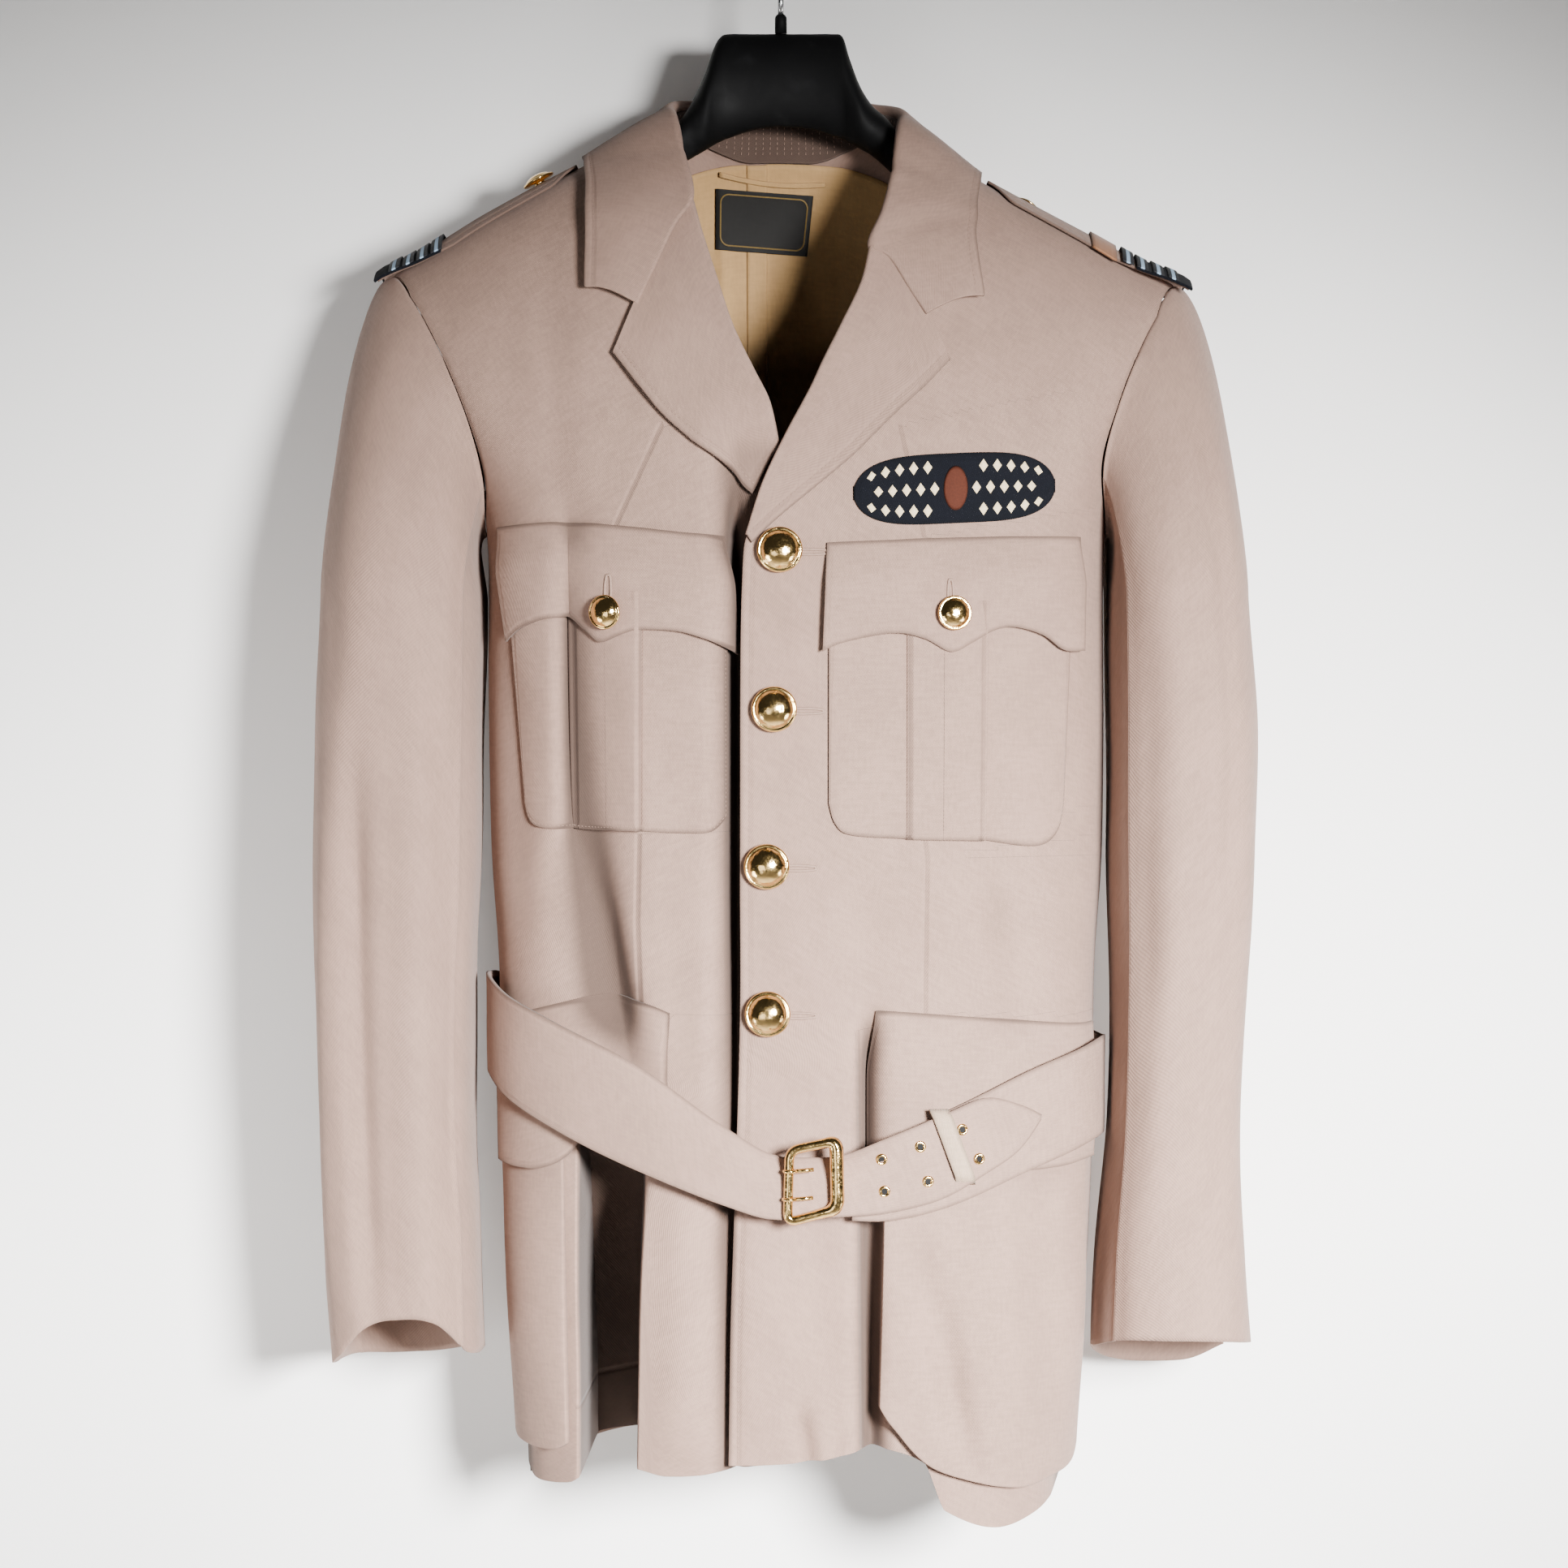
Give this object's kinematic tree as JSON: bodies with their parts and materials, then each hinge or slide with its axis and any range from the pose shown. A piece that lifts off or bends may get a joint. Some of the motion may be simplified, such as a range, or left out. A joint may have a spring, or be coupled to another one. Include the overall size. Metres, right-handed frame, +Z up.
{
  "type": "bush jacket on a hanger",
  "caption": "Belted, single-breasted bush jacket with flapped patch pockets, notched lapels and shoulder straps, hung flat on a shaped plastic suit hanger.",
  "frame": {"origin": "inside of the hook's crown, where a rail carries the hanger", "axes": "+Z up along the jacket's length, +X to the right as seen from the front, the front faces -Y"},
  "size_m": [0.5254, 0.1801, 0.9101],
  "materials": {
    "cloth": "fine twill, matt",
    "lining": "satin",
    "label": "satin",
    "patch": "embroidered felt",
    "rank_cloth": "braided stripes",
    "brown_loop": "satin ribbon",
    "cream_loop": "matt",
    "gilt": "polished",
    "hanger_plastic": "satin",
    "hook_wire": "polished wire"
  },
  "bodies": {
    "root": {"back_lining": "lining", "belt": "cloth", "belt_keeper": "cream_loop", "buckle_frame": "gilt", "buckle_prong_lower": "gilt", "buckle_prong_upper": "gilt", "chest_patch": "patch", "collar_fall": "cloth", "collar_stand": "cloth", "front_button_1": "gilt", "front_button_2": "gilt", "front_button_3": "gilt", "front_button_4": "gilt", "hanger_body": "hanger_plastic", "hanger_hook": "hook_wire", "hanger_plug": "hanger_plastic", "hanging_loop": "lining", "left_back": "cloth", "left_chest_button": "gilt", "left_chest_flap": "cloth", "left_chest_pocket": "cloth", "left_front": "cloth", "left_hip_flap": "cloth", "left_hip_pocket": "cloth", "left_lapel": "cloth", "left_rank_slide": "rank_cloth", "left_shoulder_strap": "cloth", "left_strap_button": "gilt", "left_strap_keeper": "brown_loop", "left_top_sleeve": "cloth", "left_under_sleeve": "cloth", "neck_label": "label", "right_back": "cloth", "right_chest_button": "gilt", "right_chest_flap": "cloth", "right_chest_pocket": "cloth", "right_front": "cloth", "right_hip_flap": "cloth", "right_hip_pocket": "cloth", "right_lapel": "cloth", "right_rank_slide": "rank_cloth", "right_shoulder_strap": "cloth", "right_strap_button": "gilt", "right_top_sleeve": "cloth", "right_under_sleeve": "cloth"}
  },
  "joints": []
}
